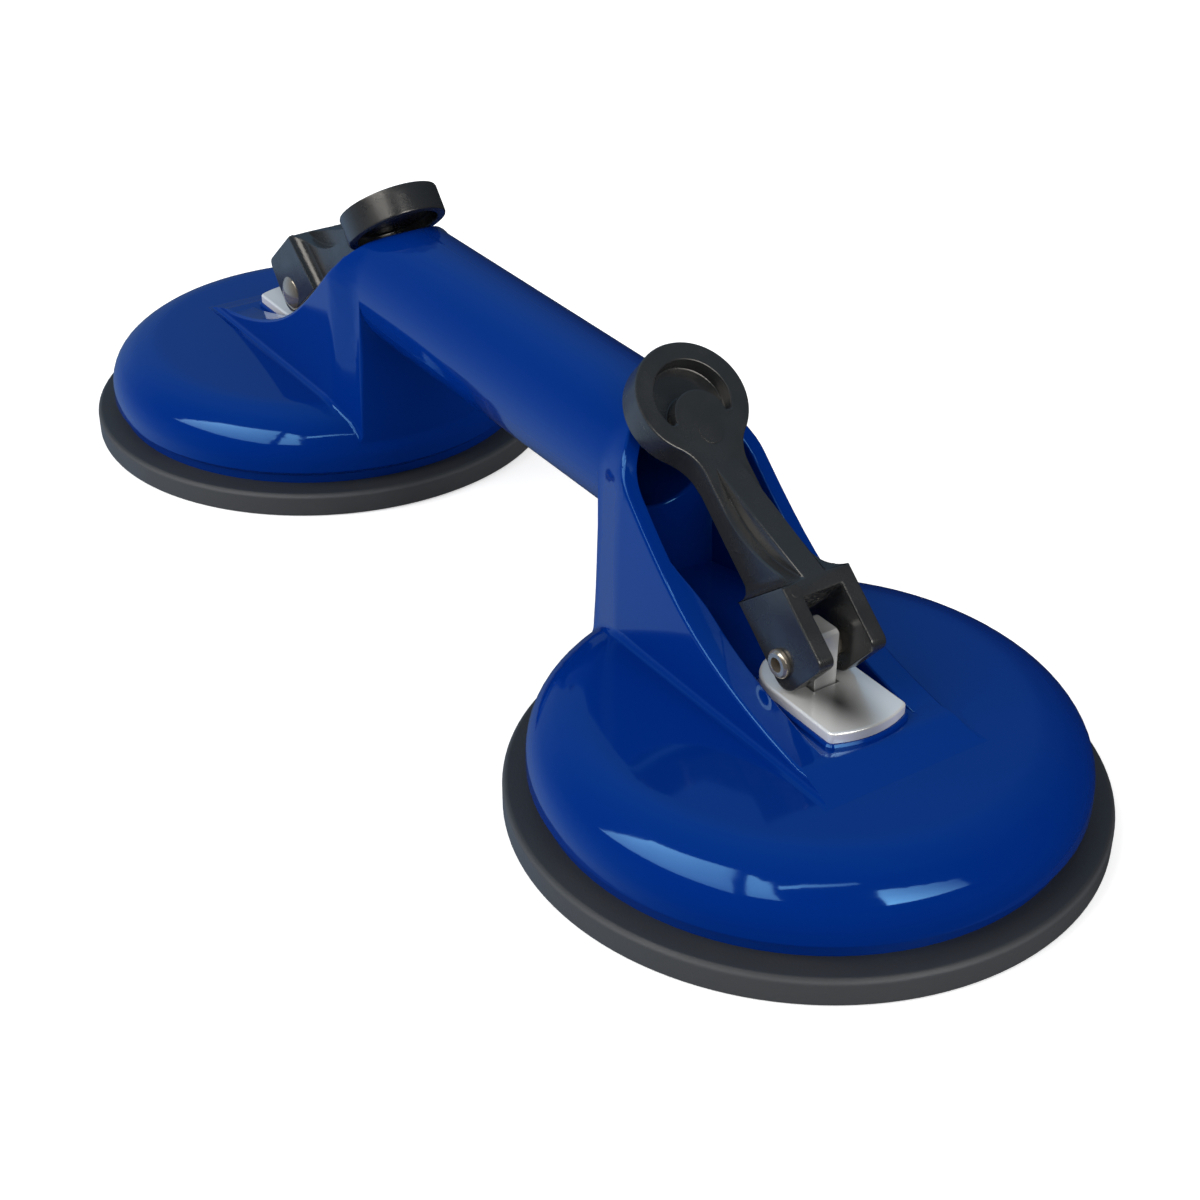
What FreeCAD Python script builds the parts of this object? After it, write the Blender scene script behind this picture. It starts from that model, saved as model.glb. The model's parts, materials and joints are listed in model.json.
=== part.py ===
import FreeCAD, Part
import math
import os

# Twin-cup suction lifter for floor tiles and glass: two rubber cups under one cast handle,
# each drawn up by its own cam lever. Millimetres, +Z up. X runs along the handle, the origin
# lies midway between the cups on the surface that the pads stand on.
# A cup is modelled about its own vertical axis, with x pointing away from the handle, and is
# then placed at the front end (+X) and, turned half a turn, at the rear end (-X).

V = FreeCAD.Vector
UP = V(0, 0, 1)

# Cup layout
cup_spacing = 205.0

# Rubber pad
pad_radius = 60.0
pad_height = 6.0
pad_edge_round = 0.9
pad_face_width = 12.0
pad_relief = 0.6

# Steel insert moulded in the pad
insert_radius = 36.0
insert_thickness = 2.5
insert_floor = 3.3
rivet_spigot_radius = 5.0
bond_gap = 0.3
press_gap = 0.02

# Cast cup housing
rim_radius = 53.6
rim_tuck_height = 2.0
shoulder_radius = 55.3
shoulder_foot = 9.6
shoulder_start = 12.0
dome_top = 23.0
dome_flat_radius = 41.0
housing_wall = 3.0
rim_wall = 2.6
hollow_haunch = 3.0

# Handle bar, pillars and lever channel
bar_radius = 14.8
bar_axis_height = 53.9
casting_wall = 3.4
pillar_radius = 54.2
pillar_root_depth = 2.2
channel_step = 0.5
channel_half_width = 11.3
channel_taper_start = -32.0
channel_taper_end = -17.0
wall_flare = 2.3
fold_x = -40.0
wall_draft = 0.03
deck_top = 25.5
deck_end_x = 19.5
ramp_length = 9.0
lip_foot_x = 17.5
foot_fillet = 1.6

# Wear plate on its boss
plate_half_width = 9.25
plate_back = 1.6
plate_corner_x = 16.6
plate_nose = 2.3
plate_thickness = 2.3
plate_corner_round = 1.2
plate_edge_chamfer = 0.35
boss_height = 1.0
boss_margin = 0.6
boss_edge_chamfer = 0.4

# Draw stud
tang_width = 5.4
tang_depth = 7.4
tang_clearance = 0.5
tang_head_radius = 6.2
shank_radius = 6.0
shank_clearance = 0.7
stud_flange_radius = 10.0
stud_flange_thickness = 2.0

# Return spring
spring_wire = 1.6
spring_turns = 3.0
spring_top_radius = 8.6
spring_foot_radius = 13.4
spring_gap = 0.3

# Cam lever, measured from the pivot pin: s runs along the lever, t out of its face.
# The height of the head above the top of the bar sets how steeply the lever lies.
pin_height = 34.8
head_seat_height = 1.625
lever_half_width = 8.1
cam_end = 5.75
cam_face = 11.5
cam_back = 4.4
cam_heel_radius = 4.0
cam_nose_radius = 2.0
fork_length = 11.4
block_length = 14.6
slot_half_width = 4.5
slot_end = 8.2
arm_half_width = 5.15
arm_face = 1.0
arm_sweep_end = 33.0
rib_half_width = 2.7
rib_end = 40.0
neck_fillet = 2.8
head_fillet = 9.0
head_distance = 54.7
head_radius = 12.2
head_thickness = 7.0
crescent_radius = 8.2
crescent_bite_radius = 5.9
crescent_bite_offset = 4.2
crescent_depth = 3.5
head_core_wall = 2.2
head_core_depth = 2.6

# Pivot rivet
rivet_radius = 2.5
rivet_running_gap = 0.05
rivet_head_radius = 4.4
rivet_head_height = 1.6
rivet_tail_radius = 2.9
rivet_tail_height = 1.3
rivet_tail_chamfer = 0.5
rivet_bore_radius = 1.5
rivet_bore_depth = 4.5

# Travel of the mechanism
locked_gap = 2.6

FLARE_STEPS = 5
SPRING_SIDES = 4
SHOULDER_SHARE = 0.8

# Shape of the lip, as shares of the way from the deck to the top of the bar
LIP_SHAPE = [(0.0, 0.0), (0.25, 0.103), (0.495, 0.29), (0.70, 0.56), (0.83, 0.78),
             (0.92, 0.935), (1.0, 1.0), (1.06, 1.04)]

# Sizes that follow from the values above
bar_top = bar_axis_height + bar_radius
side_half_width = bar_radius + wall_flare
pillar_root = pillar_radius - pillar_root_depth
ceiling = dome_top - housing_wall
boss_top = deck_top + boss_height
plate_top = boss_top + plate_thickness
insert_top = insert_floor + insert_thickness
lift = plate_top + cam_face + locked_gap - pin_height
head_rise = bar_top + head_seat_height - pin_height
lever_tilt = math.degrees(math.asin(head_rise / head_distance))
lever_swing = 180.0 - lever_tilt
shank_top = ceiling - lift - shank_clearance
tang_top = pin_height + tang_head_radius - 0.6
stud_bore_radius = math.hypot(tang_width / 2, tang_depth / 2) + tang_clearance


def revolve(points):
    """A solid of revolution about the cup axis from (radius, height) corner points."""
    wire = Part.makePolygon([V(r, 0, z) for r, z in points + points[:1]])
    return Part.Face(wire).revolve(V(0, 0, 0), UP, 360)


def extrude_across(wire, width):
    """A solid of the given width across the handle, with the outline drawn in its side view."""
    face = Part.Face(wire)
    face.translate(V(0, -width / 2, 0))
    return face.extrude(V(0, width, 0))


def dome(skirt, waist_z, top_z, flat):
    """A dome: a skirt through the given (radius, height) points, a shoulder and a flat top."""
    waist, foot_z = skirt[-1][0], skirt[0][1]
    across, up = waist - flat, top_z - waist_z
    tight = SHOULDER_SHARE * up
    wide = ((across - tight) ** 2 + up ** 2 - tight ** 2) / (2 * (up - tight))
    low_centre, high_centre = V(waist - tight, 0, waist_z), V(flat, 0, top_z - wide)
    turn = math.atan2(low_centre.z - high_centre.z, low_centre.x - high_centre.x)
    rest = (turn + math.pi / 2) / 2
    join = low_centre + V(math.cos(turn), 0, math.sin(turn)) * tight
    knee = low_centre + V(math.cos(turn / 2), 0, math.sin(turn / 2)) * tight
    brow = high_centre + V(math.cos(rest), 0, math.sin(rest)) * wide
    points = [V(0, 0, foot_z)] + [V(r, 0, z) for r, z in skirt] + [V(waist, 0, waist_z)]
    edges = [Part.makeLine(p, q) for p, q in zip(points[:-1], points[1:])]
    edges += [Part.Arc(points[-1], knee, join).toShape(),
              Part.Arc(join, brow, V(flat, 0, top_z)).toShape(),
              Part.makeLine(V(flat, 0, top_z), V(0, 0, top_z)),
              Part.makeLine(V(0, 0, top_z), V(0, 0, foot_z))]
    return Part.Face(Part.Wire(edges)).revolve(V(0, 0, 0), UP, 360)


def arch_section(x, half_width, rise, base_z):
    """One upright section across the handle: drafted sides under an arch."""
    springing = bar_axis_height
    arc = Part.Arc(V(x, rise, springing), V(x, 0, springing + rise), V(x, -rise, springing))
    stretch = FreeCAD.Matrix()
    stretch.scale(1, half_width / rise, 1)
    arc = arc.toShape().transformGeometry(stretch)
    foot = half_width + (springing - base_z) * wall_draft
    corners = [V(x, -half_width, springing), V(x, -foot, base_z), V(x, foot, base_z),
               V(x, half_width, springing)]
    sides = [Part.makeLine(p, q) for p, q in zip(corners[:-1], corners[1:])]
    return Part.Wire([arc] + sides)


def channel_form(inset, top_inset, base_z):
    """The pillar and its side walls, drawn in by the insets: as wide as the bar, then flared."""
    rise = bar_radius - top_inset
    wide = side_half_width - inset
    sections = []
    for i in range(FLARE_STEPS + 1):
        share = i / FLARE_STEPS
        width = bar_radius - inset + wall_flare * share * share * (3 - 2 * share)
        x = -pillar_root + share * (fold_x + pillar_root)
        sections.append(arch_section(x, width, rise, base_z))
    flare = Part.makeLoft(sections, True, False)
    length = deck_end_x + ramp_length + 8 - fold_x
    straight = Part.Face(arch_section(fold_x, wide, rise, base_z)).extrude(V(length, 0, 0))
    return flare.fuse(straight)


def above_lip():
    """All that lies above the lip of the channel, its deck and the ramp, as a cutting tool."""
    run, rise = lip_foot_x + pillar_radius, bar_top - deck_top
    curve = Part.BSplineCurve()
    curve.interpolate([V(lip_foot_x - a * run, 0, deck_top + b * rise) for a, b in LIP_SHAPE])
    lip = curve.toShape()
    ramp_slope = (deck_top - dome_top) / ramp_length
    ramp_end = V(deck_end_x + ramp_length + 10, 0, dome_top - 10 * ramp_slope)
    over = bar_top + 30
    corners = [curve.EndPoint, V(curve.EndPoint.x, 0, over), V(ramp_end.x, 0, over), ramp_end,
               V(deck_end_x, 0, deck_top), curve.StartPoint]
    lines = [Part.makeLine(p, q) for p, q in zip(corners[:-1], corners[1:])]
    return extrude_across(Part.Wire([lip] + lines), 4 * side_half_width)


def plate_outline(margin, z):
    """Outline of the wear plate: round at the back, straight sides, bowed nose."""
    w = plate_half_width + margin
    corner = plate_corner_x + margin
    nose = corner + plate_nose
    back = -plate_back
    edges = [Part.Arc(V(back, w, z), V(back - w, 0, z), V(back, -w, z)).toShape(),
             Part.makeLine(V(back, -w, z), V(corner, -w, z)),
             Part.Arc(V(corner, -w, z), V(nose, 0, z), V(corner, w, z)).toShape(),
             Part.makeLine(V(corner, w, z), V(back, w, z))]
    return Part.Face(Part.Wire(edges))


def plate_block(margin, low, high, chamfer):
    """The plate's outline made a block: front corners rounded, top rim chamfered."""
    block = plate_outline(margin, low).extrude(UP * (high - low))
    corners = [e for e in block.Edges
               if abs(e.Length - high + low) < 1e-6 and e.Vertexes[0].X > 1]
    block = block.makeFillet(plate_corner_round + margin, corners)
    rims = [e for e in block.Edges if all(abs(v.Z - high) < 1e-6 for v in e.Vertexes)]
    return block.makeChamfer(chamfer, rims)


def cup_shell():
    """The domed cup housing, solid."""
    outer = [(rim_radius, pad_height), (rim_radius, pad_height + rim_tuck_height),
             (shoulder_radius, shoulder_foot)]
    return dome(outer, shoulder_start, dome_top, dome_flat_radius)


def cup_hollow():
    """The space inside the cup housing, where the insert rises."""
    inner = rim_radius - rim_wall
    return revolve([(0, pad_height), (inner, pad_height), (inner, shoulder_start),
                    (inner - hollow_haunch, (shoulder_start + ceiling) / 2 + 1),
                    (dome_flat_radius + 1, ceiling), (0, ceiling)])


def pillar():
    """Pillar and side walls, ending toward the hand in a round that follows the cup."""
    base_z = shoulder_foot + 1
    leg = Part.Face(arch_section(-pillar_root - 8, bar_radius, bar_radius, base_z))
    leg = leg.extrude(V(8, 0, 0))
    drum = Part.makeCylinder(pillar_radius, bar_top + 10)
    return channel_form(0, 0, base_z).common(drum), leg.common(drum)


def channel_hollow():
    """The open channel that the lever lies in: its side walls thicken toward the pivot."""
    hollow = channel_form(casting_wall, casting_wall - channel_step, deck_top)
    hollow = hollow.common(Part.makeCylinder(pillar_radius - casting_wall, bar_top + 10))
    wide, narrow = 2 * side_half_width, channel_half_width
    start = side_half_width - casting_wall + wall_draft * (bar_axis_height - deck_top)
    taper = channel_taper_end - channel_taper_start
    edges = []
    for side in (1, -1):
        points = [V(channel_taper_start, side * start, 0),
                  V(channel_taper_start + taper / 2, side * (start + narrow) / 2, 0),
                  V(channel_taper_end, side * narrow, 0)]
        curve = Part.BSplineCurve()
        curve.interpolate(Points=points, InitialTangent=V(1, 0, 0), FinalTangent=V(1, 0, 0))
        edges.append(curve.toShape())
    far = deck_end_x + ramp_length + 10
    root = -pillar_radius - 1
    corners = [V(channel_taper_end, narrow, 0), V(far, narrow, 0), V(far, -narrow, 0),
               V(channel_taper_end, -narrow, 0)]
    edges += [Part.makeLine(p, q) for p, q in zip(corners[:-1], corners[1:])]
    corners = [V(channel_taper_start, -start, 0), V(channel_taper_start, -wide, 0),
               V(root, -wide, 0), V(root, wide, 0), V(channel_taper_start, wide, 0),
               V(channel_taper_start, start, 0)]
    edges += [Part.makeLine(p, q) for p, q in zip(corners[:-1], corners[1:])]
    plan = Part.Face(Part.Wire(Part.__sortEdges__(edges)))
    return hollow.common(plan.extrude(UP * (bar_top + 10)))


def place(shape, end):
    """Put a cup-frame shape at the front (+1) or the rear (-1) end of the handle."""
    copy = shape.copy()
    if end < 0:
        copy.rotate(V(0, 0, 0), UP, 180)
    copy.translate(V(end * cup_spacing / 2, 0, 0))
    return copy


def handle_end():
    """One end of the casting, solid: the cup housing with its pillar and side walls."""
    walls, leg = pillar()
    end = cup_shell().fuse(walls.fuse(leg).cut(above_lip())).removeSplitter()
    feet = []
    for edge in end.Edges:
        spots = [edge.valueAt(edge.FirstParameter + share * edge.Length) for share in (0, 0.5, 1)]
        level = all(abs(spot.z - dome_top) < 0.01 for spot in spots)
        lengthwise = all(abs(spot.y - spots[0].y) < 0.01 for spot in spots)
        if level and lengthwise and abs(spots[0].y) > bar_radius:
            feet.append(edge)
    return end.makeFillet(foot_fillet, feet)


def handle_body():
    """The painted casting: bar, two pillars with lever channels and two cup housings."""
    along = V(1, 0, 0)
    half = cup_spacing / 2 - pillar_root
    bar = Part.makeCylinder(bar_radius, 2 * half, V(-half, 0, bar_axis_height), along)
    reach = half + pillar_root - pillar_radius + casting_wall + 4
    bore = Part.makeCylinder(bar_radius - casting_wall, 2 * reach,
                             V(-reach, 0, bar_axis_height), along)
    body = bar.cut([place(above_lip(), 1), place(above_lip(), -1)])
    body = body.fuse([place(handle_end(), 1), place(handle_end(), -1)]).removeSplitter()
    body = body.cut(bore)
    boss = plate_block(boss_margin, deck_top - 0.5, boss_top, boss_edge_chamfer)
    stud_bore = Part.makeCylinder(stud_bore_radius, bar_top)
    for end in (1, -1):
        body = body.cut([place(cup_hollow(), end), place(channel_hollow(), end)])
        body = body.fuse(place(boss, end)).cut(place(stud_bore, end))
    return body.removeSplitter()


def rubber_pad():
    """Soft disc with a raised sealing ring below and a pocket for the steel insert."""
    face_inner = pad_radius - pad_face_width
    pocket = insert_radius + bond_gap
    pocket_floor = insert_floor - bond_gap
    points = [(0, pad_relief), (face_inner - 2, pad_relief), (face_inner, 0),
              (pad_radius - pad_edge_round / 2, 0), (pad_radius, pad_edge_round / 2),
              (pad_radius, pad_height - pad_edge_round),
              (pad_radius - pad_edge_round, pad_height),
              (pocket, pad_height), (pocket, pocket_floor), (0, pocket_floor)]
    return revolve(points)


def insert_plate():
    """Steel disc that the rubber is bonded to."""
    disc = Part.makeCylinder(insert_radius, insert_thickness, V(0, 0, insert_floor))
    hole = Part.makeCylinder(rivet_spigot_radius + press_gap, insert_top)
    return disc.cut(hole)


def draw_stud():
    """Steel stud riveted to the insert, with a flat tang that the lever pulls on."""
    stud = Part.makeCylinder(rivet_spigot_radius, insert_thickness, V(0, 0, insert_floor))
    flange = Part.makeCylinder(stud_flange_radius, stud_flange_thickness, V(0, 0, insert_top))
    shank = Part.makeCylinder(shank_radius, shank_top - insert_top, V(0, 0, insert_top))
    tang = Part.makeBox(tang_depth, tang_width, tang_top - insert_top,
                        V(-tang_depth / 2, -tang_width / 2, insert_top))
    across = V(0, 1, 0)
    eye = Part.makeCylinder(tang_head_radius, tang_width + 2,
                            V(0, -tang_width / 2 - 1, pin_height), across)
    side = 2 * tang_depth
    below = Part.makeBox(side, side, pin_height, V(-side / 2, -side / 2, 0))
    tang = tang.common(eye.fuse(below))
    hole = Part.makeCylinder(rivet_radius + rivet_running_gap, tang_width + 2,
                             V(0, -tang_width / 2 - 1, pin_height), across)
    return stud.fuse([flange, shank, tang]).removeSplitter().cut(hole)


def return_spring():
    """Conical wire spring that pushes the pad flat again when the lever is released."""
    low = insert_top + spring_gap + spring_wire / 2
    high = ceiling - spring_gap - spring_wire / 2
    height = high - low
    pitch = height / spring_turns
    lean = math.degrees(math.atan2(spring_foot_radius - spring_top_radius, height))
    path = Part.makeHelix(pitch, height, spring_top_radius, lean)
    path.rotate(V(0, 0, 0), V(1, 0, 0), 180)
    path.translate(V(0, 0, high))
    start = path.Edges[0].valueAt(path.Edges[0].FirstParameter)
    tangent = path.Edges[0].tangentAt(path.Edges[0].FirstParameter)
    upward = tangent.cross(V(start.x, start.y, 0)).normalize()
    outward = upward.cross(tangent).normalize()
    ring = []
    for i in range(SPRING_SIDES):
        turn = 2 * math.pi * i / SPRING_SIDES
        spoke = outward * math.cos(turn) + upward * math.sin(turn)
        ring.append(start + spoke * (spring_wire / 2))
    section = Part.makePolygon(ring + ring[:1])
    return Part.Wire(path.Edges).makePipeShell([section], True, True)


def wear_plate():
    """Hard steel plate that the cam slides on, slotted for the tang."""
    plate = plate_block(0, boss_top, plate_top, plate_edge_chamfer)
    length, width = tang_depth + 2 * tang_clearance, tang_width + 2 * tang_clearance
    slot = Part.makeBox(length, width, plate_top, V(-length / 2, -width / 2, 0))
    return plate.cut(slot)


def lever_plan(depth):
    """Waisted arm and round head seen square on to the lever's face."""
    arm = Part.makeBox(head_distance - 4, 2 * arm_half_width, depth, V(4, -arm_half_width, 0))
    head = Part.makeCylinder(head_radius, depth, V(head_distance, 0, 0))
    plan = arm.fuse(head).removeSplitter()
    collar = []
    for edge in plan.Edges:
        upright = len(edge.Vertexes) == 2 and abs(edge.Length - depth) < 1e-6
        if upright and edge.Vertexes[0].X > fork_length and abs(edge.Vertexes[0].Y) > 1:
            collar.append(edge)
    return plan.makeFillet(head_fillet, collar)


def lever_arm():
    """Side outline of the swept arm and the flat head, drawn across the full width."""
    head_end = head_distance + head_radius + 1
    under = arm_face - head_thickness
    crown, end = V(fork_length, 0, cam_face), V(arm_sweep_end, 0, arm_face)
    run, drop = end.x - crown.x, crown.z - end.z
    sweep_radius = (run * run + drop * drop) / (2 * drop)
    half = math.asin(run / sweep_radius) / 2
    middle = V(end.x - sweep_radius * math.sin(half), 0,
               end.z + sweep_radius * (1 - math.cos(half)))
    step_s = head_distance - head_radius - 2
    corners = [end, V(head_end, 0, arm_face), V(head_end, 0, under), V(step_s + 4, 0, under),
               V(step_s - 4, 0, -cam_back), V(4, 0, -cam_back), V(4, 0, cam_face), crown]
    edges = [Part.Arc(crown, middle, end).toShape()]
    edges += [Part.makeLine(p, q) for p, q in zip(corners[:-1], corners[1:])]
    return extrude_across(Part.Wire(edges), 4 * head_radius)


def lever_block():
    """The cam block that the fork slot is cut in, with a rounded heel and nose."""
    heel = V(cam_heel_radius - cam_end, 0, cam_heel_radius - cam_back)
    nose = V(cam_nose_radius - cam_end, 0, cam_face - cam_nose_radius)
    heel_low, heel_end = V(heel.x, 0, -cam_back), V(-cam_end, 0, heel.z)
    nose_low, nose_end = V(-cam_end, 0, nose.z), V(nose.x, 0, cam_face)
    heel_mid = heel + V(-1, 0, -1).normalize() * cam_heel_radius
    nose_mid = nose + V(-1, 0, 1).normalize() * cam_nose_radius
    crown, back = V(fork_length, 0, cam_face), V(block_length, 0, -cam_back)
    edges = [Part.makeLine(back, heel_low), Part.Arc(heel_low, heel_mid, heel_end).toShape(),
             Part.makeLine(heel_end, nose_low), Part.Arc(nose_low, nose_mid, nose_end).toShape(),
             Part.makeLine(nose_end, crown), Part.makeLine(crown, back)]
    return extrude_across(Part.Wire(edges), 2 * lever_half_width)


def neck_web():
    """Concave webs that carry the slanted back of the block into the sides of the arm."""
    lean = (block_length - fork_length) / (cam_face + cam_back)
    back, wide = block_length, arm_half_width + neck_fillet
    centre = V(back + neck_fillet, wide, 0)
    middle = centre - V(1, 1, 0).normalize() * neck_fillet
    edges = []
    for side in (1, -1):
        ends = [V(back, side * wide, 0), V(centre.x, side * arm_half_width, 0)]
        edges.append(Part.Arc(ends[0], V(middle.x, side * middle.y, 0), ends[1]).toShape())
        edges.append(Part.makeLine(V(back - 2, side * wide, 0), ends[0]))
    edges.append(Part.makeLine(V(back - 2, wide, 0), V(back - 2, -wide, 0)))
    edges.append(Part.makeLine(V(centre.x, arm_half_width, 0), V(centre.x, -arm_half_width, 0)))
    web = Part.Face(Part.Wire(Part.__sortEdges__(edges)))
    web.translate(V(lean, 0, -cam_back - 1))
    rise = cam_face + cam_back + 2
    return web.extrude(V(-lean * rise, 0, rise))


def lever_rib():
    """Straight-topped rib that stands on the middle of the arm."""
    points = [V(fork_length, 0, cam_face), V(rib_end, 0, arm_face),
              V(rib_end, 0, arm_face - 2), V(fork_length, 0, arm_face - 2)]
    return extrude_across(Part.makePolygon(points + points[:1]), 2 * rib_half_width)


def crescent():
    """Finger crescent sunk in the face of the head."""
    floor = arm_face - crescent_depth
    moon = Part.makeCylinder(crescent_radius, crescent_depth + 1, V(head_distance, 0, floor))
    bite_x = head_distance - crescent_bite_offset
    bite = Part.makeCylinder(crescent_bite_radius, crescent_depth + 2, V(bite_x, 0, floor - 0.5))
    side = 4 * head_radius
    away = Part.makeBox(side, side, side, V(bite_x - side, -side / 2, floor - side / 2))
    return moon.cut(bite).cut(away)


def lever():
    """Moulded cam lever in its own frame, with the pin along Y at the origin."""
    low = arm_face - head_thickness
    plan = lever_plan(cam_face - low + 2)
    plan.translate(V(0, 0, low - 1))
    body = plan.fuse(neck_web()).common(lever_arm())
    body = body.fuse(lever_rib()).fuse(lever_block()).removeSplitter()
    through = 2 * (cam_face + cam_back)
    slot = Part.makeBox(slot_end + through, 2 * slot_half_width, 2 * through,
                        V(-through, -slot_half_width, -through))
    core = Part.makeCylinder(head_radius - head_core_wall, head_core_depth,
                             V(head_distance, 0, low))
    hole = Part.makeCylinder(rivet_radius + press_gap, 4 * lever_half_width,
                             V(0, -2 * lever_half_width, 0), V(0, 1, 0))
    return body.cut(slot).cut(hole).cut(core).cut(crescent())


def to_cup(shape):
    """Turn a shape from the lever frame into the cup frame, at the released position."""
    copy = shape.copy()
    copy.rotate(V(0, 0, 0), UP, 180)
    copy.rotate(V(0, 0, 0), V(0, 1, 0), lever_tilt)
    copy.translate(V(0, 0, pin_height))
    return copy


def pivot_rivet():
    """Semi-tubular rivet: domed head on one side, rolled hollow tail on the other."""
    w = lever_half_width
    shank = Part.makeCylinder(rivet_radius, 2 * w, V(0, -w, 0), V(0, 1, 0))
    ball = (rivet_head_radius ** 2 + rivet_head_height ** 2) / (2 * rivet_head_height)
    cap = Part.makeSphere(ball, V(0, ball - w - rivet_head_height, 0))
    beyond = Part.makeBox(4 * ball, 2 * ball, 4 * ball, V(-2 * ball, -w - 2 * ball, -2 * ball))
    tail = Part.makeCylinder(rivet_tail_radius, rivet_tail_height, V(0, w, 0), V(0, 1, 0))
    rims = [e for e in tail.Edges if all(v.Y > w + rivet_tail_height / 2 for v in e.Vertexes)]
    tail = tail.makeChamfer(rivet_tail_chamfer, rims)
    bore = Part.makeCylinder(rivet_bore_radius, rivet_bore_depth,
                             V(0, w + rivet_tail_height - rivet_bore_depth, 0), V(0, 1, 0))
    return shank.fuse([cap.common(beyond), tail]).removeSplitter().cut(bore)


def write(name, shape):
    """Write one node and say what it holds."""
    solids = shape.Solids
    print(name, "valid", shape.isValid(), "solids", len(solids), "volume", round(shape.Volume, 1))
    (solids[0] if len(solids) == 1 else shape).exportStep("parts/" + name + ".step")


os.makedirs("parts", exist_ok=True)
write("handle_body", handle_body())
pieces = {"rubber_pad": rubber_pad(), "insert_plate": insert_plate(), "draw_stud": draw_stud(),
          "return_spring": return_spring(), "wear_plate": wear_plate(),
          "cam_lever": to_cup(lever()), "pivot_rivet": to_cup(pivot_rivet())}
for piece, made in pieces.items():
    write(piece + "_front", place(made, 1))
    write(piece + "_rear", place(made, -1))
print("lift", round(lift, 2), "swing", lever_swing, "radians per mm",
      round(math.radians(lever_swing) / lift, 5))
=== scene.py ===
import bpy
import bmesh
import json
import math
from mathutils import Matrix, Vector


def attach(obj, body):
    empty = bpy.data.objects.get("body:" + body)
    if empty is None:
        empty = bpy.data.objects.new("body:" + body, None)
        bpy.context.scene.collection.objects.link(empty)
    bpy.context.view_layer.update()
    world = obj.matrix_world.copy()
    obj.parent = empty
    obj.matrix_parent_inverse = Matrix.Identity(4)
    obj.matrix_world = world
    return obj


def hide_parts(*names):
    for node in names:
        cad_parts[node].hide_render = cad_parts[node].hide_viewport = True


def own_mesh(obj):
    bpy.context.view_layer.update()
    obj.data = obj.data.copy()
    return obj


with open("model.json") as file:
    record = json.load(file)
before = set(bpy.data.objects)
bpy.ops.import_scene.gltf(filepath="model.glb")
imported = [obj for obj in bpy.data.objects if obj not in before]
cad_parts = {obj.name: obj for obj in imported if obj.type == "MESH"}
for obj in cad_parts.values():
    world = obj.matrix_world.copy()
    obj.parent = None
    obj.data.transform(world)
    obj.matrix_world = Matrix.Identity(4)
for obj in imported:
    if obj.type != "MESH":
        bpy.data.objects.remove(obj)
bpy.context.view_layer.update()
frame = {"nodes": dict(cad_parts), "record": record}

# Twin-cup suction lifter: one painted casting on two rubber pads, each with a black cam lever.
# Lengths are metres, and +X runs along the bar toward the front cup.
ends = {"front": 1, "rear": -1}
record = frame["record"]
slotOf = {part["node"]: part["material_slot"] for part in record["subparts"]}
bodyOf = {node: body for body, nodes in record["behaviour"]["bodies"].items() for node in nodes}


def linear(hexColor):
    parts = [int(hexColor[i:i + 2], 16) / 255 for i in (1, 3, 5)]
    return [c / 12.92 if c <= 0.04045 else ((c + 0.055) / 1.055) ** 2.4 for c in parts] + [1.0]


def addNode(tree, kind, inputs=None, **settings):
    node = tree.nodes.new(kind)
    for name, value in settings.items():
        setattr(node, name, value)
    for name, value in (inputs or {}).items():
        if isinstance(value, bpy.types.NodeSocket):
            tree.links.new(value, node.inputs[name])
        else:
            node.inputs[name].default_value = value
    return node


def newMaterial(name, settings):
    material = bpy.data.materials.new(name)
    material.use_nodes = True
    tree = material.node_tree
    surface = tree.nodes["Principled BSDF"]
    surface.inputs["Base Color"].default_value = linear(settings["color"])
    surface.inputs["Roughness"].default_value = settings["roughness"]
    surface.inputs["Metallic"].default_value = settings.get("metallic", 0.0)
    return material, tree, surface


def addBump(tree, surface, layers):
    # Layers of noise, each (grain size, height, detail) in metres, stacked into one normal
    coords = addNode(tree, "ShaderNodeTexCoord")
    below = None
    for size, height, detail in layers:
        grain = addNode(tree, "ShaderNodeTexNoise",
                        {"Vector": coords.outputs["Object"], "Scale": 1 / size, "Detail": detail})
        inputs = {"Height": grain.outputs["Fac"], "Distance": height, "Strength": 1.0}
        if below:
            inputs["Normal"] = below.outputs["Normal"]
        below = addNode(tree, "ShaderNodeBump", inputs)
    tree.links.new(below.outputs["Normal"], surface.inputs["Normal"])
    return coords


def addCloud(tree, surface, coords, size, shift):
    # Slow change of roughness over the surface
    cloud = addNode(tree, "ShaderNodeTexNoise",
                    {"Vector": coords.outputs["Object"], "Scale": 1 / size, "Detail": 3.0})
    base = surface.inputs["Roughness"].default_value
    spread = addNode(tree, "ShaderNodeMapRange",
                     {"Value": cloud.outputs["Fac"], "From Min": 0.3, "From Max": 0.7,
                      "To Min": base - shift, "To Max": base + shift})
    tree.links.new(spread.outputs["Result"], surface.inputs["Roughness"])


def addMirroredCoords(tree, coords):
    # The same numbers at both ends: distance from the tool's middle, across, and height
    parts = addNode(tree, "ShaderNodeSeparateXYZ", {"Vector": coords.outputs["Object"]})
    outward = addNode(tree, "ShaderNodeMath", {0: parts.outputs["X"]}, operation="ABSOLUTE")
    end = addNode(tree, "ShaderNodeMath", {0: parts.outputs["X"]}, operation="SIGN")
    across = addNode(tree, "ShaderNodeMath", {0: parts.outputs["Y"], 1: end.outputs["Value"]},
                     operation="MULTIPLY")
    return addNode(tree, "ShaderNodeCombineXYZ", {"X": outward.outputs["Value"],
                                                  "Y": across.outputs["Value"],
                                                  "Z": parts.outputs["Z"]})


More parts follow.
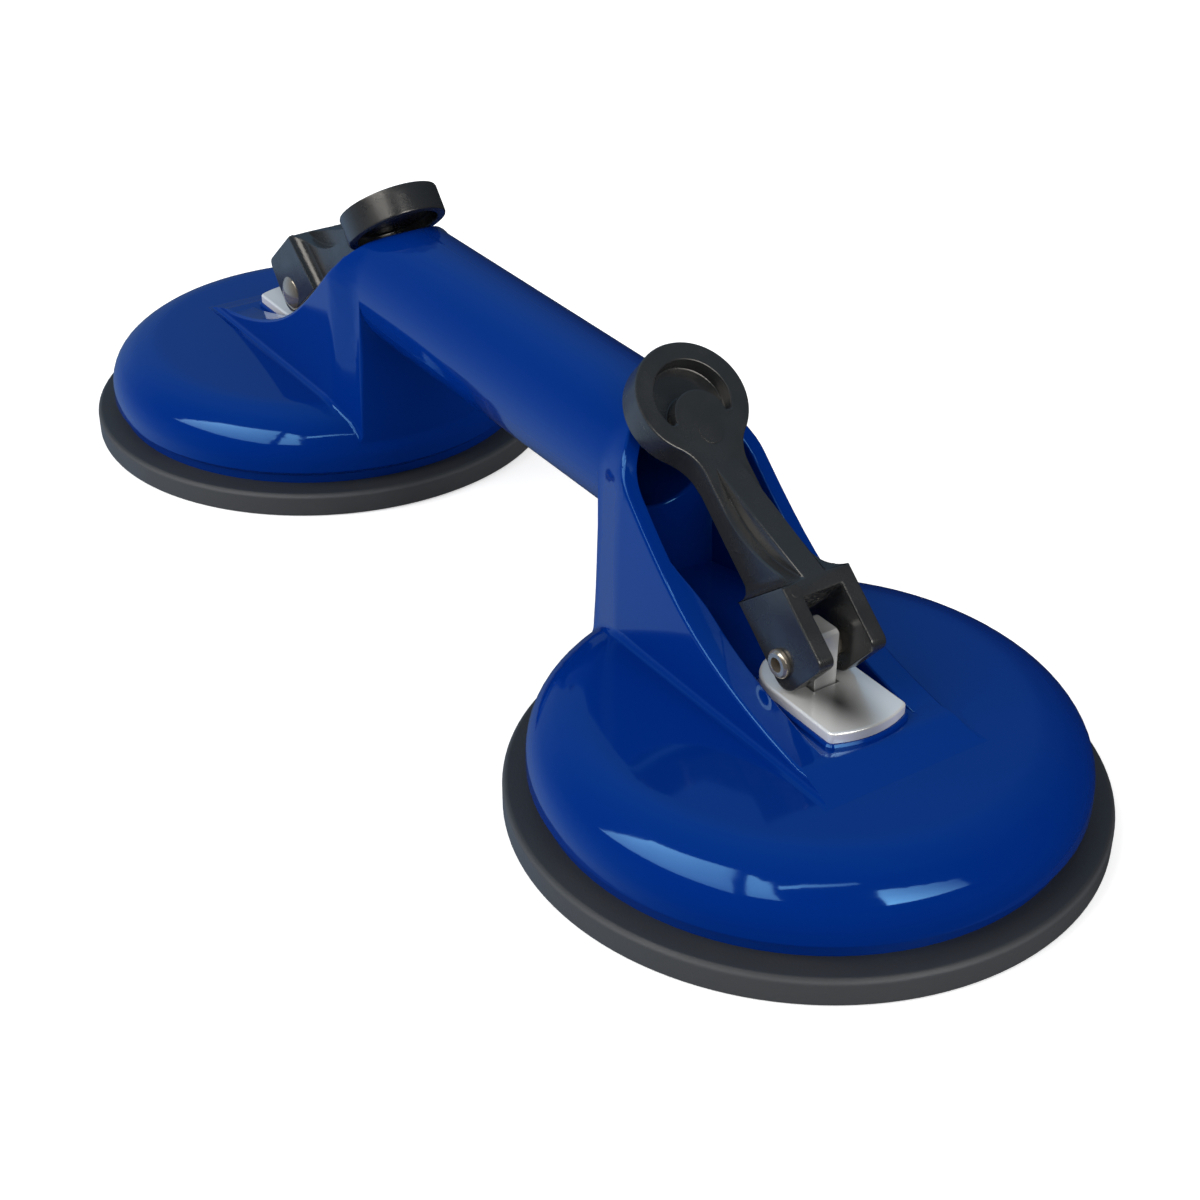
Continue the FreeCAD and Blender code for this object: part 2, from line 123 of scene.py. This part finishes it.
def addColorByDistance(tree, surface, coords, settings):
    # Goes from the near colour to the far one with the distance from a point, each axis weighed
    # by the squeeze
    flat = addNode(tree, "ShaderNodeVectorMath",
                   {0: addMirroredCoords(tree, coords).outputs["Vector"], 1: settings["centre"]},
                   operation="SUBTRACT")
    scaled = addNode(tree, "ShaderNodeVectorMath", {0: flat.outputs["Vector"], 1: settings["squeeze"]},
                     operation="MULTIPLY")
    reach = addNode(tree, "ShaderNodeVectorMath", {0: scaled.outputs["Vector"]}, operation="LENGTH")
    share = addNode(tree, "ShaderNodeMapRange",
                    {"Value": reach.outputs["Value"], "From Min": settings["from"],
                     "From Max": settings["to"]}, interpolation_type="SMOOTHSTEP")
    mix = addNode(tree, "ShaderNodeMix", {"Factor": share.outputs["Result"]}, data_type="RGBA")
    mix.inputs[6].default_value = linear(settings["near"])
    mix.inputs[7].default_value = linear(settings["far"])
    tree.links.new(mix.outputs[2], surface.inputs["Base Color"])


# Blue gloss enamel on an aluminium casting: a hard glassy skin with a bluish sheen, which follows
# the slow waves of the fettled metal below it and has a faint orange peel of its own.
castingPaint = {"color": "#01297A", "tint": "#84CEFF", "roughness": 0.07, "ior": 1.7,
                "peel": (0.0016, 0.0000015, 1.0), "waves": (0.016, 0.00003, 1.0)}


def makeCastingPaint():
    material, tree, surface = newMaterial("blue gloss enamel on cast aluminium", castingPaint)
    surface.inputs["IOR"].default_value = castingPaint["ior"]
    surface.inputs["Specular Tint"].default_value = linear(castingPaint["tint"])
    addBump(tree, surface, [castingPaint["waves"], castingPaint["peel"]])
    return material


# Black natural rubber, compression moulded: matt. Its outer wall is painted lighter than the top,
# painted light for the light that the side catches.
padRubber = {"color": "#2F3134", "roughness": 0.55, "ior": 1.5,
             "paintedLitWall": {"centre": (0.1025, 0.0, 0.0), "squeeze": (1.0, 1.0, 0.0),
                      "from": 0.0592, "to": 0.0598, "near": "#2F3134", "far": "#424447"},
             "grain": (0.0006, 0.00005, 2.0), "cloudSize": 0.02, "cloud": 0.08}


def makePadRubber():
    material, tree, surface = newMaterial("black moulded rubber", padRubber)
    surface.inputs["IOR"].default_value = padRubber["ior"]
    coords = addBump(tree, surface, [padRubber["grain"]])
    # Painted light: the outer wall is coloured lighter than the top
    addColorByDistance(tree, surface, coords, padRubber["paintedLitWall"])
    addCloud(tree, surface, coords, padRubber["cloudSize"], padRubber["cloud"])
    return material


# Black glass-filled nylon, injection moulded: half gloss, with short fibres showing as a grain
# and a fine raised line round its sides where the two mould halves met.
leverNylon = {"color": "#28292A", "tint": "#FFFAF3", "roughness": 0.24, "ior": 1.8,
              "grain": (0.0003, 0.00002, 2.0), "swell": (0.004, 0.00002, 1.0),
              "cloudSize": 0.006, "cloud": 0.08, "leverTilt": 40.5, "pinAcross": 0.1025,
              "pinHeight": 0.0348, "partingDepth": -0.0012, "partingWidth": 0.00025,
              "partingRise": 0.00015}


def addPartingLine(tree, surface, coords, settings):
    # Height of a thin ridge in the plane of the lever's arm, the same for both levers
    tilt = math.radians(settings["leverTilt"])
    outward = addNode(tree, "ShaderNodeVectorMath", {0: coords.outputs["Object"]}, operation="ABSOLUTE")
    depth = addNode(tree, "ShaderNodeVectorMath",
                    {0: outward.outputs["Vector"], 1: (math.sin(tilt), 0.0, math.cos(tilt))},
                    operation="DOT_PRODUCT")
    middle = (settings["pinAcross"] * math.sin(tilt) + settings["pinHeight"] * math.cos(tilt)
              + settings["partingDepth"])
    ridge = addNode(tree, "ShaderNodeMath", {0: depth.outputs["Value"], 1: middle,
                                             2: settings["partingWidth"]}, operation="COMPARE")
    bump = addNode(tree, "ShaderNodeBump", {"Height": ridge.outputs["Value"],
                                            "Distance": settings["partingRise"]})
    tree.links.new(surface.inputs["Normal"].links[0].from_socket, bump.inputs["Normal"])
    tree.links.new(bump.outputs["Normal"], surface.inputs["Normal"])


def makeLeverNylon():
    material, tree, surface = newMaterial("black glass filled nylon", leverNylon)
    surface.inputs["IOR"].default_value = leverNylon["ior"]
    surface.inputs["Specular Tint"].default_value = linear(leverNylon["tint"])
    coords = addBump(tree, surface, [leverNylon["swell"], leverNylon["grain"]])
    addPartingLine(tree, surface, coords, leverNylon)
    addCloud(tree, surface, coords, leverNylon["cloudSize"], leverNylon["cloud"])
    return material


# Bright zinc plate on punched steel: fine crystalline grain, so its reflections are soft. Its colour
# is painted dark round the tang, painted shade and a painted reflection of the black lever, and near
# white farther out, a painted highlight.
zincSteel = {"color": "#DADAD8", "roughness": 0.2, "metallic": 0.5,
             "paintedShadeAndHighlight": {"centre": (0.1120, -0.0014, 0.0), "squeeze": (0.4, 0.9, 0.0),
                     "from": -0.001, "to": 0.0078, "near": "#383A39", "far": "#FFFFFD"},
             "grain": (0.0004, 0.00003, 2.0), "cloudSize": 0.004, "cloud": 0.06}
# Nickel plate on a cold-headed rivet: warmer and smoother than the zinc.
rivetSteel = {"color": "#C2B8A9", "roughness": 0.2, "metallic": 0.8,
              "grain": (0.0008, 0.000006, 1.0), "cloudSize": 0.003, "cloud": 0.05}
# Drawn spring wire, oiled.
springWire = {"color": "#8E9092", "roughness": 0.35, "metallic": 1.0,
              "grain": (0.0004, 0.000004, 1.0), "cloudSize": 0.004, "cloud": 0.05}


def makePlatedMetal(name, settings):
    material, tree, surface = newMaterial(name, settings)
    coords = addBump(tree, surface, [settings["grain"]])
    addCloud(tree, surface, coords, settings["cloudSize"], settings["cloud"])
    # Painted shade and painted lever reflection round the tang, painted highlight farther out
    if "paintedShadeAndHighlight" in settings:
        addColorByDistance(tree, surface, coords, settings["paintedShadeAndHighlight"])
    return material


finishes = {
    "painted_casting": makeCastingPaint(),
    "pad_rubber": makePadRubber(),
    "lever_nylon": makeLeverNylon(),
    "zinc_steel": makePlatedMetal("zinc plated steel", zincSteel),
    "rivet_steel": makePlatedMetal("nickel plated steel", rivetSteel),
    "spring_wire": makePlatedMetal("drawn spring wire", springWire),
}
print("finishes", len(finishes))


# How the CAD triangles are joined up, lengths in metres, and above which angle an edge stays sharp
joining = {"weld": 0.000002, "sliver": 0.000001, "flatAngle": 0.5, "smoothAngle": 32}


def mergedMesh(node):
    # The CAD node's loose triangles joined up, with its flat faces whole again
    mesh = bmesh.new()
    mesh.from_mesh(frame["nodes"][node].data)
    bmesh.ops.remove_doubles(mesh, verts=mesh.verts, dist=joining["weld"])
    bmesh.ops.dissolve_degenerate(mesh, dist=joining["sliver"], edges=mesh.edges)
    bmesh.ops.dissolve_limit(mesh, angle_limit=math.radians(joining["flatAngle"]),
                             verts=mesh.verts, edges=mesh.edges)
    bmesh.ops.recalc_face_normals(mesh, faces=mesh.faces)
    return mesh


def sharpEdges(mesh, degrees):
    limit = math.radians(degrees)
    return [e for e in mesh.edges if len(e.link_faces) == 2 and e.calc_face_angle() > limit]


def bevelEdges(mesh, edges, width, segments):
    bmesh.ops.bevel(mesh, geom=edges, offset=width, offset_type="OFFSET", segments=segments,
                    profile=0.5, affect="EDGES", clamp_overlap=False)


def standIn(mesh, node):
    # Turns the mesh into the piece that is seen in place of the CAD node
    for face in mesh.faces:
        face.smooth = True
    limit = math.radians(joining["smoothAngle"])
    for edge in mesh.edges:
        edge.smooth = edge.calc_face_angle(math.pi) < limit
    data = bpy.data.meshes.new(node + "_look")
    mesh.to_mesh(data)
    mesh.free()
    data.materials.append(finishes[slotOf[node]])
    piece = bpy.data.objects.new(node + "_look", data)
    bpy.context.scene.collection.objects.link(piece)
    weighted = piece.modifiers.new("weightedNormals", "WEIGHTED_NORMAL")
    weighted.keep_sharp = True
    weighted.mode = "FACE_AREA"
    weighted.weight = 100
    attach(piece, bodyOf[node])
    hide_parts(node)
    return piece


# Cast handle: the lips of the lever channels are rounded over by the paint and the fettling.
# They run above the deck from inboard to outboard of the cup's middle. The channel starts a
# little later, and the boss under the wear plate keeps its own chamfer.
castHandle = {"cupDistance": 0.1025, "lipAngle": 24, "lipRound": 0.0008, "innerRound": 0.0005,
              "segments": 3, "lipInboard": 0.0538, "lipOutboard": 0.0262, "deckTop": 0.0252,
              "channelInboard": 0.0484, "channelHalfWidth": 0.0149, "bossHalfWidth": 0.0109,
              "bossTop": 0.03}


def lipEdges(mesh, outer):
    found = []
    for edge in sharpEdges(mesh, castHandle["lipAngle"]):
        middle = (edge.verts[0].co + edge.verts[1].co) / 2
        along = abs(middle.x) - castHandle["cupDistance"]
        onLip = -castHandle["lipInboard"] < along < castHandle["lipOutboard"]
        if not edge.is_convex or not onLip or middle.z < castHandle["deckTop"]:
            continue
        inside = abs(middle.y) < castHandle["channelHalfWidth"] and along > -castHandle["channelInboard"]
        atBoss = abs(middle.y) < castHandle["bossHalfWidth"] and middle.z < castHandle["bossTop"]
        if atBoss or inside == outer:
            continue
        found.append(edge)
    return found


handleMesh = mergedMesh("handle_body")
bevelEdges(handleMesh, lipEdges(handleMesh, True), castHandle["lipRound"], castHandle["segments"])
bevelEdges(handleMesh, lipEdges(handleMesh, False), castHandle["innerRound"], castHandle["segments"])
standIn(handleMesh, "handle_body")
print("casting done")

# Moulded and stamped pieces: how far each one's sharp edges are rounded off, and above which angle
edgeRounds = {"rubber_pad": (0.0003, 40), "insert_plate": (0.0002, 40), "draw_stud": (0.0002, 40),
              "wear_plate": (0.00018, 40), "pivot_rivet": (0.00008, 40), "cam_lever": (0.00045, 30)}
edgeSegments = 2

# Ejector marks: low discs that the mould's pins left, on the head and on the block, as distance
# from the pin along the arm, across it, height over the arm, and radius
ejectorMarks = {"rise": 0.00012, "sunk": 0.0006, "rim": 0.00008, "sides": 40,
                "discs": ((0.0471, 0.0003, 0.0010, 0.0026), (0.0098, -0.0056, 0.0115, 0.0013))}


def addEjectorMarks(mesh, side):
    tilt = math.radians(leverNylon["leverTilt"])
    pin = Vector((leverNylon["pinAcross"], 0, leverNylon["pinHeight"]))
    alongArm = Vector((-math.cos(tilt), 0, math.sin(tilt)))
    outOfArm = Vector((math.sin(tilt), 0, math.cos(tilt)))
    turned = Matrix((alongArm.cross(outOfArm) * -1, alongArm, outOfArm)).transposed().to_4x4()
    for along, across, height, radius in ejectorMarks["discs"]:
        thick = ejectorMarks["rise"] + ejectorMarks["sunk"]
        centre = (pin + alongArm * along + Vector((0, across, 0))
                  + outOfArm * (height + ejectorMarks["rise"] - thick / 2))
        place = Matrix.Rotation(0 if side > 0 else math.pi, 4, "Z") @ Matrix.Translation(centre) @ turned
        disc = bmesh.ops.create_cone(mesh, cap_ends=True, radius1=radius,
                                     segments=ejectorMarks["sides"],
                                     radius2=radius, depth=thick, matrix=place)
        rims = [e for e in {e for v in disc["verts"] for e in v.link_edges}
                if len(e.link_faces) == 2 and max(len(f.verts) for f in e.link_faces) > 4]
        bevelEdges(mesh, rims, ejectorMarks["rim"], edgeSegments)


for end, side in ends.items():
    for piece, (width, angle) in edgeRounds.items():
        node = piece + "_" + end
        mesh = mergedMesh(node)
        bevelEdges(mesh, sharpEdges(mesh, angle), width, edgeSegments)
        if piece == "cam_lever":
            addEjectorMarks(mesh, side)
        standIn(mesh, node)
print("moulded pieces done")

# Return springs: round wire wound on a cone, from under the housing's roof down to the pad's
# insert. On the tool they flatten as the stud draws the pad up; here each is built at one fixed height.
returnSpring = {"Turns": 3.0, "Top Radius": 0.0086, "Foot Radius": 0.01306, "Height": 0.01114,
                "Wire Radius": 0.00079, "topZ": 0.0189, "fixedZ": 0.0197, "keep": 0.44,
                "stepsPerTurn": 48, "wireSides": 12}


def makeSpringNodes():
    group = bpy.data.node_groups.new("woundSpring", "GeometryNodeTree")
    group.interface.new_socket("Geometry", in_out="OUTPUT", socket_type="NodeSocketGeometry")
    for name in ("Turns", "Top Radius", "Foot Radius", "Height", "Wire Radius"):
        socket = group.interface.new_socket(name, in_out="INPUT", socket_type="NodeSocketFloat")
        socket.default_value = returnSpring[name]
    given = addNode(group, "NodeGroupInput").outputs
    drop = addNode(group, "ShaderNodeMath", {0: given["Height"], 1: -1.0}, operation="MULTIPLY")
    path = addNode(group, "GeometryNodeCurveSpiral",
                   {"Resolution": returnSpring["stepsPerTurn"], "Rotations": given["Turns"],
                    "Start Radius": given["Top Radius"], "End Radius": given["Foot Radius"],
                    "Height": drop.outputs["Value"], "Reverse": True})
    ring = addNode(group, "GeometryNodeCurvePrimitiveCircle",
                   {"Resolution": returnSpring["wireSides"], "Radius": given["Wire Radius"]})
    wire = addNode(group, "GeometryNodeCurveToMesh",
                   {"Curve": path.outputs["Curve"], "Profile Curve": ring.outputs["Curve"],
                    "Fill Caps": True})
    whole = addNode(group, "GeometryNodeRealizeInstances", {"Geometry": wire.outputs["Mesh"]})
    faced = addNode(group, "GeometryNodeSetMaterial", {"Geometry": whole.outputs["Geometry"],
                                                       "Material": finishes["spring_wire"]})
    addNode(group, "NodeGroupOutput", {"Geometry": faced.outputs["Geometry"]})
    return group


springNodes = makeSpringNodes()
for end, side in ends.items():
    node = "return_spring_" + end
    winding = bpy.data.objects.new(node + "_winding", bpy.data.meshes.new(node + "_winding"))
    bpy.context.scene.collection.objects.link(winding)
    winding.modifiers.new("winding", "NODES").node_group = springNodes
    ready = winding.evaluated_get(bpy.context.evaluated_depsgraph_get())
    data = bpy.data.meshes.new_from_object(ready)
    bpy.data.objects.remove(winding)
    half = castHandle["cupDistance"] * side
    data.transform(Matrix.Translation((half, 0, returnSpring["topZ"]))
                   @ Matrix.Rotation(0 if side > 0 else math.pi, 4, "Z"))
    data.shade_smooth()
    spring = bpy.data.objects.new(node + "_look", data)
    bpy.context.scene.collection.objects.link(spring)
    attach(spring, bodyOf[node])
    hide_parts(node)
    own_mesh(spring)
print("springs done")

# Photo studio: a white sweep and a tent of grey cloth, brightest to the left of the camera and
# nearly black to its right, with the softboxes' faces shining through it. The cloth and the
# faces are what the gloss shows. Plain lamps in much the same places do the lighting.
studio = {"floorSize": 3.2, "floorColor": "#FFFFFF", "floorBounce": "#D6D6D6", "floorLift": 0.45,
          "roomLevel": 0.42, "tentRadius": 2.4, "faceRadius": 2.328, "faceSteps": 12,
          "tentShade": "#1A1E24", "faceColor": "#FFFEFC"}

# Each glow on the cloth: its middle as (azimuth, height) in degrees, how tightly it gathers
# there, its colour and its level
tentGlows = {
    "lowLeft": {"middle": (-146, -28), "gather": 4.0, "color": "#B0D4FF", "level": 0.6},
    "overBack": {"middle": (152, 62), "gather": 4.0, "color": "#90CCFF", "level": 0.44},
    "left": {"middle": (-178, 14), "gather": 8.0, "color": "#90CCFF", "level": 0.18},
}

# Each softbox face by its corners as (azimuth, height) in degrees seen from the object, and the
# glow of its cloth at each of them, where 1 is white paper
softboxFaces = {
    "keyFace": {"corners": ((-125, 30), (-63, 34), (-77, 67), (-119, 54)), "glow": (3.0, 1.9, 3.4, 6.5)},
    "keyEdge": {"corners": ((-58, 36), (-45, 37), (-54, 63), (-68, 66)), "glow": (3.0, 2.6, 4.6, 4.6)},
    "sideFace": {"corners": ((-7, 26), (24, 24), (28, 40), (-3, 54)), "glow": (9.0, 1.4, 1.0, 5.0)},
    "topStrip": {"corners": ((-47, 57), (-4, 62), (-4, 64), (-47, 61)), "glow": (4.6, 2.0, 2.0, 4.6)},
}

# Each lamp: where it stands seen from the object (degrees), its distance and size in metres,
# and how bright its cloth is
softboxes = {
    "keySoftbox": {"azimuth": -100, "height": 49, "away": 1.5, "size": (1.0, 0.9), "glow": 3.9},
    "sideSoftbox": {"azimuth": 10, "height": 39, "away": 1.3, "size": (0.6, 0.62), "glow": 3.0},
    "leftFill": {"azimuth": -120, "height": 8, "away": 1.6, "size": (1.6, 0.8), "glow": 3.0},
    "frontFill": {"azimuth": 0, "height": 4, "away": 1.6, "size": (1.4, 0.6), "glow": 3.4},
}


def toward(azimuth, height):
    a, h = math.radians(azimuth), math.radians(height)
    return Vector((math.cos(a) * math.cos(h), math.sin(a) * math.cos(h), math.sin(h)))


def addBackgroundRays(tree):
    # 1 for rays that show the background as such, 0 for rays that carry its light
    rays = addNode(tree, "ShaderNodeLightPath")
    mirror = addNode(tree, "ShaderNodeMath",
                     {0: rays.outputs["Is Camera Ray"], 1: rays.outputs["Is Glossy Ray"]},
                     operation="MAXIMUM")
    return addNode(tree, "ShaderNodeMath",
                   {0: mirror.outputs["Value"], 1: rays.outputs["Is Transmission Ray"]},
                   operation="MAXIMUM")


def emptyMaterial(name):
    material = bpy.data.materials.new(name)
    material.use_nodes = True
    material.node_tree.nodes.clear()
    return material, material.node_tree


def makeFloor():
    bpy.ops.mesh.primitive_plane_add(size=studio["floorSize"])
    floor = bpy.context.object
    floor.name = "studioFloor"
    material, tree = emptyMaterial("white studio sweep")
    shown = addBackgroundRays(tree)
    shade = addNode(tree, "ShaderNodeBsdfDiffuse", {"Color": linear(studio["floorColor"])})
    lift = addNode(tree, "ShaderNodeEmission", {"Color": linear(studio["floorColor"]),
                                                "Strength": studio["floorLift"]})
    seen = addNode(tree, "ShaderNodeAddShader", {0: shade.outputs[0], 1: lift.outputs[0]})
    bounce = addNode(tree, "ShaderNodeBsdfDiffuse", {"Color": linear(studio["floorBounce"])})
    mix = addNode(tree, "ShaderNodeMixShader", {0: shown.outputs["Value"], 1: bounce.outputs[0],
                                                2: seen.outputs[0]})
    addNode(tree, "ShaderNodeOutputMaterial", {"Surface": mix.outputs[0]})
    floor.data.materials.append(material)
    floor.visible_glossy = False
    return floor


def hangInTent(name, mesh, material):
    # Cloth that only the gloss shows: it neither lights nor shades, and the camera looks past it
    data = bpy.data.meshes.new(name)
    mesh.to_mesh(data)
    mesh.free()
    data.materials.append(material)
    cloth = bpy.data.objects.new(name, data)
    bpy.context.scene.collection.objects.link(cloth)
    cloth.visible_camera = cloth.visible_diffuse = cloth.visible_shadow = False
    return cloth


def makeTent():
    mesh = bmesh.new()
    bmesh.ops.create_uvsphere(mesh, u_segments=48, v_segments=24, radius=studio["tentRadius"])
    material, tree = emptyMaterial("grey tent cloth")
    coords = addNode(tree, "ShaderNodeTexCoord")
    way = addNode(tree, "ShaderNodeVectorMath", {0: coords.outputs["Object"]}, operation="NORMALIZE")
    cloth = tuple(linear(studio["tentShade"])[:3])
    for glow in tentGlows.values():
        side = addNode(tree, "ShaderNodeVectorMath",
                       {0: way.outputs["Vector"], 1: toward(*glow["middle"])}, operation="DOT_PRODUCT")
        front = addNode(tree, "ShaderNodeMath", {0: side.outputs["Value"], 1: 0.0}, operation="MAXIMUM")
        soft = addNode(tree, "ShaderNodeMath", {0: front.outputs["Value"], 1: glow["gather"]},
                       operation="POWER")
        shine = tuple(c * glow["level"] for c in linear(glow["color"])[:3])
        cloth = addNode(tree, "ShaderNodeVectorMath", {0: soft.outputs["Value"], 1: shine, 2: cloth},
                        operation="MULTIPLY_ADD").outputs["Vector"]
    glow = addNode(tree, "ShaderNodeEmission", {"Color": cloth})
    addNode(tree, "ShaderNodeOutputMaterial", {"Surface": glow.outputs[0]})
    material.cycles.emission_sampling = "NONE"
    return hangInTent("greyTent", mesh, material)


def betweenCorners(corners, across, up):
    lowLeft, lowRight, highRight, highLeft = corners
    return ((lowLeft * (1 - across) + lowRight * across) * (1 - up)
            + (highLeft * (1 - across) + highRight * across) * up)


def makeSoftboxFace(name, face):
    steps = studio["faceSteps"]
    corners = [toward(*corner) for corner in face["corners"]]
    mesh = bmesh.new()
    shine = mesh.verts.layers.float.new("shine")
    rows = []
    for i in range(steps + 1):
        row = []
        for j in range(steps + 1):
            way = betweenCorners(corners, j / steps, i / steps)
            vert = mesh.verts.new(way.normalized() * studio["faceRadius"])
            vert[shine] = betweenCorners(face["glow"], j / steps, i / steps)
            row.append(vert)
        rows.append(row)
    for lower, upper in zip(rows[:-1], rows[1:]):
        for j in range(steps):
            mesh.faces.new((lower[j], lower[j + 1], upper[j + 1], upper[j]))
    material, tree = emptyMaterial(name + " cloth")
    level = addNode(tree, "ShaderNodeAttribute", attribute_name="shine")
    glow = addNode(tree, "ShaderNodeEmission", {"Color": linear(studio["faceColor"]),
                                                "Strength": level.outputs["Fac"]})
    addNode(tree, "ShaderNodeOutputMaterial", {"Surface": glow.outputs[0]})
    return hangInTent(name, mesh, material)


def makeRoom():
    world = bpy.data.worlds.new("studio room")
    bpy.context.scene.world = world
    world.use_nodes = True
    tree = world.node_tree
    tree.nodes.clear()
    shown = addBackgroundRays(tree)
    level = addNode(tree, "ShaderNodeMapRange", {"Value": shown.outputs["Value"],
                                                 "To Min": studio["roomLevel"], "To Max": 1.0})
    air = addNode(tree, "ShaderNodeBackground", {"Strength": level.outputs["Result"]})
    air.inputs["Color"].default_value = (1, 1, 1, 1)
    addNode(tree, "ShaderNodeOutputWorld", {"Surface": air.outputs[0]})


def makeSoftbox(name, box):
    lamp = bpy.data.lights.new(name, "AREA")
    lamp.shape = "RECTANGLE"
    lamp.size, lamp.size_y = box["size"]
    lamp.energy = box["glow"] * math.pi * lamp.size * lamp.size_y
    holder = bpy.data.objects.new(name, lamp)
    bpy.context.scene.collection.objects.link(holder)
    way = toward(box["azimuth"], box["height"])
    holder.location = way * box["away"]
    holder.rotation_euler = way.to_track_quat("Z", "Y").to_euler()
    holder.visible_glossy = False
    return holder


makeRoom()
lamps = [makeSoftbox(name, box) for name, box in softboxes.items()]
faces = [makeSoftboxFace(name, face) for name, face in softboxFaces.items()]
makeFloor()
makeTent()
print("studio done")

# Camera fitted to the photograph
view = {"at": (0.3456, -0.2130, 0.2482), "to": (0.01956, 0.00667, 0.0), "roll": 0.27,
        "lens": 60.8, "sensor": 36.0, "nearest": 0.01}
cameraData = bpy.data.cameras.new("photoCamera")
cameraData.lens = view["lens"]
cameraData.sensor_width = view["sensor"]
cameraData.clip_start = view["nearest"]
camera = bpy.data.objects.new("photoCamera", cameraData)
bpy.context.scene.collection.objects.link(camera)
aim = (Vector(view["to"]) - Vector(view["at"])).to_track_quat("-Z", "Y").to_matrix().to_4x4()
camera.matrix_world = (Matrix.Translation(view["at"]) @ aim
                       @ Matrix.Rotation(math.radians(view["roll"]), 4, "Z"))
bpy.context.scene.camera = camera
bpy.context.scene.view_settings.view_transform = "Standard"
